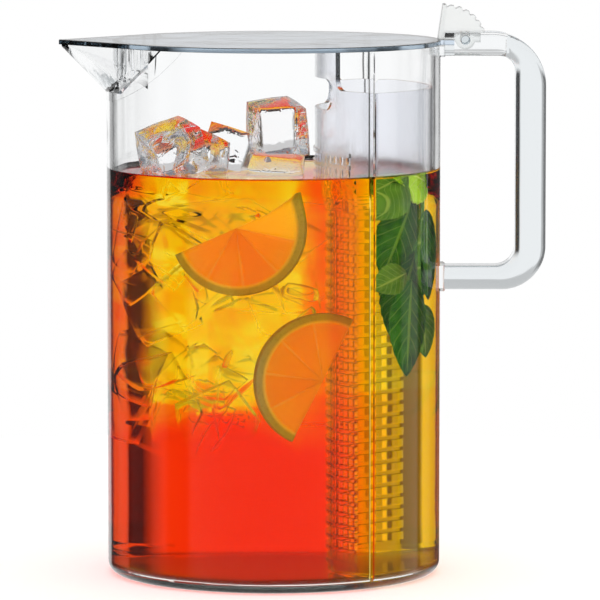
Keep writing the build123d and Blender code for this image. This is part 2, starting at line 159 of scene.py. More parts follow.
def revolved(profile, segments):
    """A shell from a profile of (radius, height) turned about the Z axis, with poles at its ends."""
    profile = np.asarray(profile, float)
    turn = np.linspace(0, 2 * math.pi, segments, endpoint=False)
    radius = profile[1:-1, 0][:, None]
    rings = np.stack(
        [
            radius * np.cos(turn),
            radius * np.sin(turn),
            np.broadcast_to(profile[1:-1, 1][:, None], (len(profile) - 2, segments)),
        ],
        axis=-1,
    )
    ends = [np.array([0, 0, profile[i, 1]]) for i in (0, -1)]
    return closed_rings(rings, ends[0], ends[1])


def joined(shells):
    """Several (points, faces) shells as one."""
    points, faces, start = [], [], 0
    for shell_points, shell_faces in shells:
        points.append(shell_points)
        faces += [tuple(i + start for i in face) for face in shell_faces]
        start += len(shell_points)
    return np.vstack(points), faces


def inside_out(shell):
    """The same shell with its faces turned round."""
    points, faces = shell
    return points, [tuple(reversed(face)) for face in faces]


# ---------------------------------------------------------------- materials


def new_material(name):
    """A material with an empty node tree, and its output node."""
    material = bpy.data.materials.new(name)
    material.use_nodes = True
    tree = material.node_tree
    tree.nodes.clear()
    return material, tree, tree.nodes.new("ShaderNodeOutputMaterial")


def put(tree, socket, value):
    """Give an input socket its value, or link it where the value is a socket."""
    if isinstance(value, bpy.types.NodeSocket):
        tree.links.new(value, socket)
    else:
        socket.default_value = value


def add(tree, kind, settings=None, **inputs):
    """A node with its settings, and its inputs by name, as values or as sockets to link."""
    node = tree.nodes.new(kind)
    for key, value in (settings or {}).items():
        setattr(node, key, value)
    for key, value in inputs.items():
        put(tree, node.inputs[key.replace("_", " ")], value)
    return node


def math_node(tree, operation, first, second=None):
    """The result of a Math node on one or two values or sockets."""
    node = add(tree, "ShaderNodeMath", {"operation": operation})
    put(tree, node.inputs[0], first)
    if second is not None:
        put(tree, node.inputs[1], second)
    return node.outputs[0]


def ramp(tree, value, stops):
    """The colour of a Color Ramp with the given (place, colour) stops."""
    node = add(tree, "ShaderNodeValToRGB", Fac=value)
    band = node.color_ramp
    while len(band.elements) > 1:
        band.elements.remove(band.elements[-1])
    band.elements[0].position, band.elements[0].color = stops[0]
    for place, colour in stops[1:]:
        band.elements.new(place).color = colour
    return node.outputs["Color"]


def blended(tree, mask, low, high):
    """The blend of two values by a mask."""
    node = add(tree, "ShaderNodeMix", Factor=mask)
    put(tree, node.inputs[2], low)
    put(tree, node.inputs[3], high)
    return node.outputs[0]


def mixed(tree, mask, low, high):
    """The blend of two colours by a mask."""
    node = add(tree, "ShaderNodeMix", {"data_type": "RGBA"})
    put(tree, node.inputs[0], mask)
    put(tree, node.inputs[6], low)
    put(tree, node.inputs[7], high)
    return node.outputs[2]


def share_between(tree, value, low, high):
    """0 where a value is low and 1 where it is high, and straight in between."""
    node = add(tree, "ShaderNodeMapRange", Value=value, From_Min=low, From_Max=high)
    return node.outputs["Result"]


def shader_blend(tree, share, first, second):
    """The blend of two shaders: the first where share is 0, the second where it is 1."""
    node = add(tree, "ShaderNodeMixShader", Fac=share)
    tree.links.new(first, node.inputs[1])
    tree.links.new(second, node.inputs[2])
    return node.outputs["Shader"]


def absorb(tree, output, colour, density):
    """A volume that colours light along its way through the piece."""
    inside = add(tree, "ShaderNodeVolumeAbsorption", Color=rgb(*colour), Density=density)
    tree.links.new(inside.outputs["Volume"], output.inputs["Volume"])


def own_coordinates(tree):
    """The piece's own coordinates through a Mapping node."""
    source = add(tree, "ShaderNodeTexCoord").outputs["Object"]
    return add(tree, "ShaderNodeMapping", Vector=source).outputs["Vector"]


def rgb(red, green, blue):
    """An opaque colour."""
    return (red, green, blue, 1.0)


def new_group(name, inputs, outputs):
    """A shader node group with float, vector or colour sockets, given as (name, kind, value)."""
    group = bpy.data.node_groups.new(name, "ShaderNodeTree")
    kinds = {"float": "NodeSocketFloat", "vector": "NodeSocketVector", "color": "NodeSocketColor"}
    for label, kind, value in inputs:
        socket = group.interface.new_socket(label, in_out="INPUT", socket_type=kinds[kind])
        socket.default_value = value
    for label, kind in outputs:
        group.interface.new_socket(label, in_out="OUTPUT", socket_type=kinds[kind])
    return group, group.nodes.new("NodeGroupInput").outputs, group.nodes.new("NodeGroupOutput").inputs


def moulded_flow_group():
    """Moulded plastic's surface: slow flow waves as a height, and fine handling marks as a roughness."""
    group, given, gives = new_group(
        "moulded_flow",
        [
            ("Vector", "vector", (0, 0, 0)),
            ("Wave Scale", "float", 45.0),
            ("Mark Scale", "float", 900.0),
            ("Gloss", "float", 0.02),
            ("Marks", "float", 0.05),
        ],
        [("Roughness", "float"), ("Height", "float")],
    )
    where = given["Vector"]
    waves = add(group, "ShaderNodeTexNoise", Vector=where, Scale=given["Wave Scale"], Detail=2.0)
    marks = add(group, "ShaderNodeTexNoise", Vector=where, Scale=given["Mark Scale"], Detail=3.0)
    worn = share_between(group, marks.outputs["Fac"], 0.45, 0.85)
    amount = math_node(group, "MULTIPLY", worn, given["Marks"])
    group.links.new(math_node(group, "ADD", amount, given["Gloss"]), gives["Roughness"])
    group.links.new(waves.outputs["Fac"], gives["Height"])
    return group


moulded_flow = moulded_flow_group()


def placed(tree, group, **inputs):
    """A node group in a material, with its inputs by name."""
    return add(tree, "ShaderNodeGroup", {"node_tree": group}, **inputs)


def plastic_surface(tree, where, tint, gloss, marks, waves, index, shine):
    """The surface of a clear moulded plastic."""
    flow = placed(tree, moulded_flow, Vector=where, Gloss=gloss, Marks=marks)
    bump = add(tree, "ShaderNodeBump", Strength=waves, Distance=0.001, Height=flow.outputs["Height"])
    shader = add(
        tree,
        "ShaderNodeBsdfPrincipled",
        Base_Color=rgb(*tint),
        Roughness=flow.outputs["Roughness"],
        Normal=bump.outputs["Normal"],
        IOR=index,
    )
    shader.inputs["Transmission Weight"].default_value = 1.0
    shader.inputs["Specular Tint"].default_value = rgb(shine, shine, shine)
    return shader


def clear_plastic(
    name,
    gloss=0.015,
    marks=0.05,
    tint=(0.997, 0.999, 1.0),
    density=50.0,
    waves=0.06,
    shine=0.4,
):
    """Moulded clear plastic: faint flow waves, fine marks in the gloss, and a cool tint where it is thick."""
    material, tree, output = new_material(name)
    where = own_coordinates(tree)
    shader = plastic_surface(tree, where, tint, gloss, marks, waves, PLASTIC_INDEX, shine)
    tree.links.new(shader.outputs["BSDF"], output.inputs["Surface"])
    absorb(tree, output, PLASTIC_DEPTH, density)
    return material


def wetted_plastic(name, density=40.0, seat=None):
    """The infuser's clear plastic: plain above the liquid's level, and nearly lost in the liquid below it.

    seat is the height under which a piece lies wet on the jug's floor, face to face. Light goes straight
    through there, as it does between two wetted plastics, and the thin piece has no volume of its own.
    """
    material, tree, output = new_material(name)
    where = own_coordinates(tree)
    dry = plastic_surface(tree, where, (0.95, 0.955, 0.985), 0.11, 0.08, 0.06, PLASTIC_INDEX, 0.2)
    wet = plastic_surface(tree, where, (0.998, 0.997, 0.99), 0.01, 0.02, 0.05, WETTED_INDEX, 0.2)
    height = add(tree, "ShaderNodeSeparateXYZ", Vector=where).outputs["Z"]
    above = math_node(tree, "GREATER_THAN", height, LEVEL)
    surface = shader_blend(tree, above, wet.outputs["BSDF"], dry.outputs["BSDF"])
    if seat is None:
        absorb(tree, output, PLASTIC_DEPTH, density)
    else:
        straight = add(tree, "ShaderNodeBsdfTransparent").outputs["BSDF"]
        surface = shader_blend(tree, math_node(tree, "LESS_THAN", height, seat), surface, straight)
    tree.links.new(surface, output.inputs["Surface"])
    return material


def tint_only(name, colour, density):
    """A volume that colours light and leaves its path alone."""
    material, tree, output = new_material(name)
    through = add(tree, "ShaderNodeBsdfTransparent")
    tree.links.new(through.outputs["BSDF"], output.inputs["Surface"])
    absorb(tree, output, colour, density)
    return material


def water_material():
    """The liquid's skin: clean, with the faintest slow ripple."""
    material, tree, output = new_material("liquid_water")
    ripple = add(tree, "ShaderNodeTexNoise", Vector=own_coordinates(tree), Scale=30.0, Detail=1.0)
    bump = add(tree, "ShaderNodeBump", Strength=0.03, Distance=0.001, Height=ripple.outputs["Fac"])
    skin = add(
        tree,
        "ShaderNodeBsdfPrincipled",
        Base_Color=rgb(1, 1, 1),
        Roughness=0.0,
        IOR=WATER_INDEX,
        Normal=bump.outputs["Normal"],
    )
    skin.inputs["Transmission Weight"].default_value = 1.0
    skin.inputs["Specular Tint"].default_value = rgb(0.15, 0.15, 0.15)
    tree.links.new(skin.outputs["BSDF"], output.inputs["Surface"])
    return material


def ice_material(name, index, cloud, rough, relief, cracks):
    """Clear ice: wavy melted faces, hair cracks in the bump, and a milky bloom in patches."""
    material, tree, output = new_material(name)
    where = own_coordinates(tree)
    melt = add(tree, "ShaderNodeTexNoise", Vector=where, Scale=85.0, Detail=1.5, Distortion=0.4)
    cells = add(tree, "ShaderNodeTexVoronoi", {"feature": "DISTANCE_TO_EDGE"}, Vector=where, Scale=120.0)
    line = share_between(tree, cells.outputs["Distance"], 0.0, 0.05)
    height = math_node(tree, "ADD", math_node(tree, "MULTIPLY", line, cracks), melt.outputs["Fac"])
    bump = add(tree, "ShaderNodeBump", Strength=relief, Distance=0.0012, Height=height)
    plain, milky = rgb(rough, rough, rough), rgb(rough + cloud, 0, 0)
    bloom = ramp(tree, melt.outputs["Fac"], [(0.48, plain), (0.75, milky)])
    gloss = add(tree, "ShaderNodeSeparateColor", Color=bloom).outputs["Red"]
    skin = add(
        tree,
        "ShaderNodeBsdfPrincipled",
        Base_Color=rgb(0.99, 0.995, 1.0),
        Roughness=gloss,
        Normal=bump.outputs["Normal"],
        IOR=index,
    )
    skin.inputs["Transmission Weight"].default_value = 1.0
    tree.links.new(skin.outputs["BSDF"], output.inputs["Surface"])
    return material


def soft_flesh(tree, output, colour, relief, roughness, index, let_through):
    """The skin of fruit and leaves: fine relief, a soft gloss, and a share of the light let through."""
    bump = add(tree, "ShaderNodeBump", Strength=0.5, Distance=0.0004, Height=relief).outputs["Normal"]
    skin = add(
        tree, "ShaderNodeBsdfPrincipled", Base_Color=colour, Roughness=roughness, IOR=index, Normal=bump
    )
    glow = add(tree, "ShaderNodeBsdfTranslucent", Color=colour, Normal=bump)
    surface = shader_blend(tree, let_through, skin.outputs["BSDF"], glow.outputs["BSDF"])
    tree.links.new(surface, output.inputs["Surface"])


def from_middle(tree, value):
    """How far a value's fraction lies from one half."""
    return math_node(tree, "ABSOLUTE", math_node(tree, "SUBTRACT", math_node(tree, "FRACT", value), 0.5))


def orange_material():
    """A cut orange: juice sacs running out from the heart, pale membranes and pith, and a dimpled rind with
    painted shade in its dimples.

    The attributes hold a point's share of the radius, and its place in segments from the first one.
    """
    material, tree, output = new_material("orange_slice")
    reach = add(tree, "ShaderNodeAttribute", {"attribute_name": "reach"}).outputs["Fac"]
    turn = add(tree, "ShaderNodeAttribute", {"attribute_name": "segment"}).outputs["Fac"]
    where = own_coordinates(tree)
    along = add(tree, "ShaderNodeCombineXYZ", X=math_node(tree, "MULTIPLY", turn, 9.0), Y=reach)
    sacs = add(tree, "ShaderNodeTexNoise", Vector=along.outputs["Vector"], Scale=5.0, Detail=3.0)
    dimples = add(tree, "ShaderNodeTexVoronoi", Vector=where, Scale=900.0)
    flesh = ramp(
        tree,
        sacs.outputs["Fac"],
        [(0.25, rgb(0.86, 0.38, 0.01)), (0.5, rgb(0.90, 0.50, 0.02)), (0.75, rgb(0.94, 0.64, 0.06))],
    )
    number = math_node(tree, "FLOOR", turn)
    segment = add(tree, "ShaderNodeTexWhiteNoise", {"noise_dimensions": "1D"}, W=number)
    ripe = math_node(tree, "MULTIPLY", segment.outputs["Value"], 0.6)
    flesh = mixed(tree, ripe, flesh, rgb(0.84, 0.30, 0.01))
    # Painted light: the first segment, the top one of the first slice, is painted paler yellow, as where light
    # falls on the slice's top. The second slice starts at segment 5 and never gets it.
    painted_light_top_segment = math_node(tree, "MULTIPLY", math_node(tree, "LESS_THAN", turn, 1.0), 0.8)
    flesh = mixed(tree, painted_light_top_segment, flesh, rgb(1.0, 0.86, 0.10))
    membrane = math_node(tree, "MULTIPLY", share_between(tree, from_middle(tree, turn), 0.44, 0.49), 0.4)
    pale = mixed(tree, membrane, flesh, rgb(0.95, 0.74, 0.30))
    with_pith = mixed(tree, share_between(tree, reach, 0.84, 0.875), pale, rgb(0.86, 0.70, 0.32))
    # The peel's dark dots are painted shade in the rind's dimples, which have no bump of their own; the crests
    # are the rind's lighter colour between them.
    painted_pit_shade, crests = rgb(0.26, 0.27, 0.17), rgb(0.44, 0.43, 0.28)
    peel = ramp(tree, dimples.outputs["Distance"], [(0.0, painted_pit_shade), (0.4, crests)])
    colour = mixed(tree, share_between(tree, reach, 0.87, 0.91), with_pith, peel)
    soft_flesh(tree, output, colour, sacs.outputs["Fac"], roughness=0.35, index=1.2, let_through=0.45)
    return material


def leaf_material(name, low, high, vein):
    """A mint leaf: mottled green with paler veins, from its own length and width attributes."""
    material, tree, output = new_material(name)
    along = add(tree, "ShaderNodeAttribute", {"attribute_name": "along"}).outputs["Fac"]
    across = add(tree, "ShaderNodeAttribute", {"attribute_name": "across"}).outputs["Fac"]
    mottle = add(tree, "ShaderNodeTexNoise", Vector=own_coordinates(tree), Scale=260.0, Detail=3.0)
    green = ramp(tree, mottle.outputs["Fac"], [(0.3, rgb(*low)), (0.7, rgb(*high))])
    side = math_node(tree, "ABSOLUTE", across)
    sweep = math_node(tree, "SUBTRACT", along, math_node(tree, "MULTIPLY", side, 0.28))
    beat = from_middle(tree, math_node(tree, "MULTIPLY", sweep, 7.0))
    ribs = share_between(tree, beat, 0.42, 0.5)
    spine = share_between(tree, side, 0.10, 0.04)
    veins = math_node(tree, "MAXIMUM", ribs, spine)
    colour = mixed(tree, math_node(tree, "MULTIPLY", veins, 0.75), green, rgb(*vein))
    relief = math_node(tree, "SUBTRACT", mottle.outputs["Fac"], veins)
    soft_flesh(tree, output, colour, relief, roughness=0.4, index=1.15, let_through=0.5)
    return material


def use(piece, material):
    """The piece, finished in one material."""
    piece.data.materials.clear()
    piece.data.materials.append(material)
    return piece


# ---------------------------------------------------------------- liquid body


def liquid_profile():
    """Half outline of the liquid: flat foot, round corner, upright side, and a meniscus down to its level."""
    corner = FLOOR_CORNER
    turn = np.linspace(-math.pi / 2, 0, 7)
    foot = np.stack(
        [LIQUID_RADIUS - corner + corner * np.cos(turn), LIQUID_FOOT + corner + corner * np.sin(turn)],
        axis=1,
    )
    side = np.stack([np.full(12, LIQUID_RADIUS), np.linspace(foot[-1, 1], LEVEL, 13)[1:]], axis=1)
    fall = np.linspace(0, 1, 10)
    curl = np.stack(
        [
            LIQUID_RADIUS - MENISCUS_REACH * fall,
            LEVEL + MENISCUS_HEIGHT * (1 - fall) ** 3,
        ],
        axis=1,
    )
    middle = np.stack([np.linspace(curl[-1, 0], 0, 8)[1:], np.full(7, LEVEL)], axis=1)
    start = np.array([[0, LIQUID_FOOT], [LIQUID_RADIUS * 0.5, LIQUID_FOOT]])
    return np.vstack([start, foot, side[:-1], curl, middle])


def liquid_body():
    """The liquid's profile turned about the jug's axis."""
    points, faces = revolved(liquid_profile(), 256)
    return mesh_piece("liquid", points, faces)


def crescent_outline(radius, gap=TINT_GAP, count=200):
    """Plan of the space in front of the infuser: the jug's round, and the bulge of the screen."""
    reach = SCREEN_RADIUS + SCREEN_RIB + gap
    across = (SCREEN_X**2 + radius**2 - reach**2) / (2 * SCREEN_X)
    meet = math.acos(across / radius)
    round_turn = np.linspace(meet, 2 * math.pi - meet, count)
    outer = np.stack([radius * np.cos(round_turn), radius * np.sin(round_turn)], axis=1)
    half = math.asin(radius * math.sin(meet) / reach)
    screen_turn = np.linspace(math.pi + half, math.pi - half, count // 2)[1:-1]
    inner = np.stack([SCREEN_X + reach * np.cos(screen_turn), reach * np.sin(screen_turn)], axis=1)
    return np.vstack([outer, inner])


def screen_side_prism(side, start=21.0 * MM):
    """The darker tea that seeps from the screen: the crescent's tip beyond x = start, on one side."""
    plan = crescent_outline(LIQUID_RADIUS - 0.3 * MM, 0.4 * MM)
    tip = plan[(plan[:, 0] > start) & (plan[:, 1] * side > 0)]
    middle = tip.mean(0)
    tip = tip[np.argsort(np.arctan2(tip[:, 1] - middle[1], tip[:, 0] - middle[0]))]
    return upright_prism(tip, LIQUID_FOOT + 1.0 * MM, LEVEL - 0.2 * MM, middle)


def lens_outline(count=120, gap=TINT_GAP):
    """Plan of the space inside the infuser: between its back shell and its screen."""
    back = INNER_RADIUS - INFUSER_GAP - INFUSER_WALL - gap
    reach = SCREEN_RADIUS - INFUSER_WALL - gap
    across = (SCREEN_X**2 + back**2 - reach**2) / (2 * SCREEN_X)
    meet = math.acos(across / back)
    back_turn = np.linspace(-meet, meet, count)
    outer = np.stack([back * np.cos(back_turn), back * np.sin(back_turn)], axis=1)
    half = math.asin(back * math.sin(meet) / reach)
    screen_turn = np.linspace(math.pi - half, math.pi + half, count)[1:-1]
    inner = np.stack([SCREEN_X + reach * np.cos(screen_turn), reach * np.sin(screen_turn)], axis=1)
    return np.vstack([outer, inner])


def tea_body():
    """The tea's tint: crescents stacked from the liquid's foot to its level, just inside its own outline.

    Near the floor the round of the crescent follows the liquid's round corner.
    """
    side = LIQUID_RADIUS - TINT_INSET
    corner = FLOOR_CORNER
    foot = LIQUID_FOOT + TINT_INSET
    turn = np.linspace(-math.pi / 2, 0, 7)[1:]
    stack = [(foot, side - corner)]
    stack += [(foot + corner * (1 + math.sin(a)), side - corner * (1 - math.cos(a))) for a in turn]
    stack += [(z, side) for z in np.linspace(10 * MM, LEVEL - TINT_INSET, 10)]
    rings = []
    for z, radius in stack:
        plan = crescent_outline(radius)
        rings.append(np.column_stack([plan, np.full(len(plan), z)]))
    low, high = (np.array([-30 * MM, 0, z]) for z in (stack[0][0], stack[-1][0]))
    return closed_rings(rings, low, high)


HOLLOW_MIDDLE = np.array([-24 * MM, 0])
HOLLOW_TOP = 3 * MM  # under the liquid's level
HOLLOW_BOTTOM = 92  # millimetres under the level, at the lower edge's highest step
HOLLOW_EDGE_STEPS = 24  # millimetres from its highest step to its lowest
HOLLOW_DRAW = 0.26  # how much of the plan the largest step takes in
HOLLOW_END = 43  # millimetres from the jug's axis to the cut under the beak
HOLLOW_END_STEPS = 4  # millimetres that the cut wanders
HOLLOW_POLES = (98 * MM, 2 * MM)  # under the level


def ice_hollow(seed=11):
    """The room the crushed ice takes in the tea: crescents drawn in from the wall by stepped amounts.

    The steps are random by patches of angle and height, and the lower edge is a row of random steps too.
    The ice keeps off the side under the beak, so the plan is cut off there.
    """
    chance = np.random.default_rng(seed)
    rows, count = 61, 200
    around = count + count // 2 - 2  # points in the crescent's outline
    patch_low = np.repeat(chance.uniform(0, 1, 26), 12)[:around]
    low = LEVEL - (HOLLOW_BOTTOM + HOLLOW_EDGE_STEPS * patch_low) * MM
    rings = []
    for row in range(rows):
        share = row / (rows - 1)
        if row % 5 == 0:
            inset = np.repeat(chance.uniform(0, 1, 40), 8)
            inset = np.roll(inset, chance.integers(0, 8))
        plan = crescent_outline(LIQUID_RADIUS - 4.5 * MM, 5.0 * MM, count)
        pull = 1 - HOLLOW_DRAW * inset[: len(plan)] * np.clip(1 - plan[:, 0] / (30 * MM), 0.2, 1)
        plan = HOLLOW_MIDDLE + (plan - HOLLOW_MIDDLE) * pull[:, None]
        plan[:, 0] = np.maximum(plan[:, 0], -(HOLLOW_END + HOLLOW_END_STEPS * inset[0]) * MM)
        height = low[: len(plan)] + share * (LEVEL - HOLLOW_TOP - low[: len(plan)])
        rings.append(np.column_stack([plan, height]))
    low_pole, high_pole = (np.array([*HOLLOW_MIDDLE, LEVEL - depth]) for depth in HOLLOW_POLES)
    return closed_rings(rings, low_pole, high_pole)


def upright_prism(outline, low, high, centre, rows=12):
    """A closed shell with the same plan at every height."""
    heights = np.linspace(low, high, rows)
    rings = np.stack([np.column_stack([outline, np.full(len(outline), z)]) for z in heights])
    return closed_rings(rings, np.array([*centre, low]), np.array([*centre, high]))


# ---------------------------------------------------------------- ice


def cube_shell(count=5):
    """A cube's surface, -1 to 1, as merged points and outward quads: six grids of count cells a side."""
    line = np.linspace(-1, 1, count + 1)
    first, second = np.meshgrid(line, line, indexing="ij")
    first, second = first.ravel(), second.ravel()
    one = np.ones_like(first)
    sides = [
        (one, first, second),
        (-one, second, first),
        (second, one, first),
        (first, -one, second),
        (first, second, one),
        (second, first, -one),
    ]
    points = np.vstack([np.stack(side, axis=1) for side in sides])
    row, column = np.meshgrid(np.arange(count), np.arange(count), indexing="ij")
    corner = (row * (count + 1) + column).ravel()
    quads = np.stack([corner, corner + count + 1, corner + count + 2, corner + 1], axis=1)
    faces = np.vstack([quads + side * len(first) for side in range(6)])
    key = np.round(points * 1000).astype(int)
    _, keep, where = np.unique(key, axis=0, return_index=True, return_inverse=True)
    return points[keep], where.ravel()[faces]


CUBE_POINTS, CUBE_FACES = cube_shell()
BALL_REACH = 1.28  # radius of the ball a block melts towards, against the cube's half side
ICE_CLEARANCE = 0.6 * MM  # from the jug's wall and from the screen
ICE_DEPTH = 1.0 * MM  # under the liquid's level at the least


def ice_block(centre, half, turn, seed, square, warp):
    """A melted block of ice: a cube drawn part of the way to a ball, its corners pushed about, then turned.

    square is how much of the cube stays; warp is how far its eight corners wander, as a share of half.
    """
    chance = np.random.default_rng(seed)
    length = np.linalg.norm(CUBE_POINTS, axis=1, keepdims=True)
    ball = CUBE_POINTS / length * BALL_REACH
    shape = CUBE_POINTS * square + ball * (1 - square)
    corners = chance.uniform(-warp, warp, (2, 2, 2, 3))
    share = (CUBE_POINTS + 1) / 2
    for i in (0, 1):
        for j in (0, 1):
            for k in (0, 1):
                weight = (
                    np.abs(1 - i - share[:, 0]) * np.abs(1 - j - share[:, 1]) * np.abs(1 - k - share[:, 2])
                )
                shape = shape + weight[:, None] * corners[i, j, k]
    shape = shape * np.asarray(half)
    points = turned(shape, turn) + np.asarray(centre)
    return points, CUBE_FACES


def turned(points, turn):
    """Points turned about X, then Y, then Z, by angles in degrees."""
    angle_x, angle_y, angle_z = np.radians(turn)
    cos, sin = math.cos, math.sin
    about_x = np.array([[1, 0, 0], [0, cos(angle_x), -sin(angle_x)], [0, sin(angle_x), cos(angle_x)]])
    about_y = np.array([[cos(angle_y), 0, sin(angle_y)], [0, 1, 0], [-sin(angle_y), 0, cos(angle_y)]])
    about_z = np.array([[cos(angle_z), -sin(angle_z), 0], [sin(angle_z), cos(angle_z), 0], [0, 0, 1]])
    return points @ (about_z @ about_y @ about_x).T


def clear_of_walls(points):
    """Whether a shape keeps inside the jug's wall, off the screen and under the liquid's level."""
    screen = SCREEN_RADIUS + SCREEN_RIB
    in_jug = np.hypot(points[:, 0], points[:, 1]).max() < INNER_RADIUS - ICE_CLEARANCE
    off_screen = np.hypot(points[:, 0] - SCREEN_X, points[:, 1]).min() > screen + ICE_CLEARANCE
    return in_jug and off_screen and points[:, 2].max() < LEVEL - ICE_DEPTH


def sunken_blocks(seed=7, count=40):
    """The ice under the liquid: a random tumble of blocks kept inside the crescent and off the fruit."""
    chance = np.random.default_rng(seed)
    blocks = []
    while len(blocks) < count:
        centre = chance.uniform((-62, -62, 62), (30, 62, 158)) * MM
        half = chance.uniform(7.0, 13.0, 3) * MM
        turn = chance.uniform(-50, 50, 3)
        block = ice_block(centre, half, turn, 100 + len(blocks), square=0.88, warp=0.2)
        reach = np.linalg.norm(block[0] - centre, axis=1).max()
        if clear_of_walls(block[0]) and not near_fruit(centre[:2], centre[2], reach):
            blocks.append(block)
    return blocks


def air_chips(seed=5, count=10):
    """Thin pockets of air between the blocks: blocks flattened to 0.5 to 1 mm, tumbled near the front."""
    chance = np.random.default_rng(seed)
    chips = []
    while len(chips) < count:
        centre = chance.uniform((-56, -58, 72), (22, -8, 160)) * MM
        half = chance.uniform((1.5, 0.25, 4.0), (4.0, 0.5, 9.0)) * MM
        turn = chance.uniform((-60, -80, -40), (60, 80, 40))
        chip = ice_block(centre, half, turn, 500 + len(chips), square=0.5, warp=0.4)
        if clear_of_walls(chip[0]) and not near_fruit(centre[:2], centre[2], 6 * MM):
            chips.append(chip)
    return chips


def near_fruit(centre, z, reach):
    """Whether a block would touch one of the orange slices, which lie against the front wall."""
    for place in ORANGES:
        away = np.array([centre[0], centre[1], z]) - place["centre"]
        beside = abs(away @ place["face"]) < reach + ORANGE_THICK
        if beside and np.linalg.norm(away) < ORANGE_RADIUS + reach * 0.7:
            return True
    return False


# ---------------------------------------------------------------- orange slices

ORANGE_RADIUS = 27.5 * MM
ORANGE_THICK = 4.2 * MM
ORANGE_SEGMENTS = 5.0  # in half a slice
MEMBRANE_DIP = 0.22  # shares of the thickness
PITH_DIP = 0.10


def slice_axes(yaw, roll):
    """Face normal, cut-edge direction and bulge direction of a slice that faces -Y before it is turned."""
    basis = turned(np.array([[0, -1.0, 0], [1.0, 0, 0], [0, 0, -1.0]]), (0, 0, yaw))
    face, edge, bulge = basis
    cos, sin = math.cos(math.radians(roll)), math.sin(math.radians(roll))
    return face, edge * cos - bulge * sin, edge * sin + bulge * cos


def fruit(x, z, yaw, roll, away):
    """An orange slice's place: its centre at a distance from the jug's axis, and its turn."""
    face, edge, bulge = slice_axes(yaw, roll)
    return {
        "centre": np.array([x, -math.sqrt(away**2 - x**2), z]),
        "face": face,
        "edge": edge,
        "bulge": bulge,
    }


ORANGES = [
    fruit(-13.8 * MM, 148 * MM, -12.0, 25.0, away=55.5 * MM),
    fruit(18.6 * MM, 86 * MM, 19.0, -117.0, away=56.5 * MM),
]


def orange_slice(name, place, first_segment):
    """Half a slice: rings from the cut's middle out to the rind on each face, and a rounded rind between them.

    A point is centre + edge * r cos t + bulge * r sin t + face * h, t from 0 to half a turn. The thickness
    h swells in each segment and dips at the membranes and the pith. Segments are numbered on from
    first_segment.
    """
    rings = np.array([0.02, 0.12, 0.25, 0.4, 0.55, 0.7, 0.8, 0.86, 0.9, 0.945, 0.975])
    rim = np.linspace(-1, 1, 5)
    reach = np.concatenate([rings, 0.985 + 0.015 * np.cos(rim * math.pi / 2), rings[::-1]])
    side = np.concatenate([np.ones(len(rings)), -rim, -np.ones(len(rings))])
    angle = np.linspace(0.0, math.pi, 81)
    reach_grid, angle_grid = np.meshgrid(reach, angle, indexing="ij")
    side_grid = np.repeat(side[:, None], len(angle), axis=1)
    beat = np.abs(np.modf(angle_grid / math.pi * ORANGE_SEGMENTS)[0] - 0.5) * 2
    swell = 1 - MEMBRANE_DIP * np.exp(-(((1 - beat) / 0.12) ** 2)) * (reach_grid < 0.88)
    swell = swell - PITH_DIP * np.exp(-(((reach_grid - 0.89) / 0.03) ** 2))
    height = side_grid * swell * ORANGE_THICK / 2
    radius = reach_grid * ORANGE_RADIUS
    outward = np.cos(angle_grid)[..., None] * place["edge"] + np.sin(angle_grid)[..., None] * place["bulge"]
    points = place["centre"] + radius[..., None] * outward + height[..., None] * place["face"]
    rows, columns = radius.shape
    row, column = np.meshgrid(np.arange(rows - 1), np.arange(columns - 1), indexing="ij")
    corner = (row * columns + column).ravel()
    quads = np.stack([corner, corner + 1, corner + columns + 1, corner + columns], axis=1)
    faces = [tuple(quad) for quad in quads]
    start = np.arange(rows) * columns
    end = start + columns - 1
    half = rows // 2
    for edge, flip in ((start, True), (end, False)):
        for i in range(half):
            quad = (edge[i], edge[i + 1], edge[rows - 2 - i], edge[rows - 1 - i])
            quad = tuple(dict.fromkeys(quad))
            faces.append(tuple(reversed(quad)) if flip else quad)
    front = tuple(range(columns))
    back = tuple(range((rows - 1) * columns, rows * columns))
    faces += [tuple(reversed(front)), back, (start[0], end[0], end[-1], start[-1])]
    piece = mesh_piece(name, points.reshape(-1, 3), faces)
    store(piece, "reach", reach_grid)
    store(piece, "segment", first_segment + angle_grid / math.pi * ORANGE_SEGMENTS)
    return mended(piece)


def store(piece, name, values):
    """A float attribute on the piece's points."""
    attribute = piece.data.attributes.new(name, "FLOAT", "POINT")
    attribute.data.foreach_set("value", np.asarray(values, np.float32).ravel())


def mended(piece):
    """Faces turned to point outwards."""
    shape = bmesh.new()
    shape.from_mesh(piece.data)
    bmesh.ops.recalc_face_normals(shape, faces=shape.faces)
    shape.to_mesh(piece.data)
    shape.free()
    return piece


# ---------------------------------------------------------------- mint

LEAF_THICKNESS = 0.32 * MM
LEAF_END = 0.3 * MM  # half width that is left at the root
LEAF_END_TAPER = 0.18 * MM  # and how much less of it at the tip
VEIN_RELIEF = 0.25 * MM


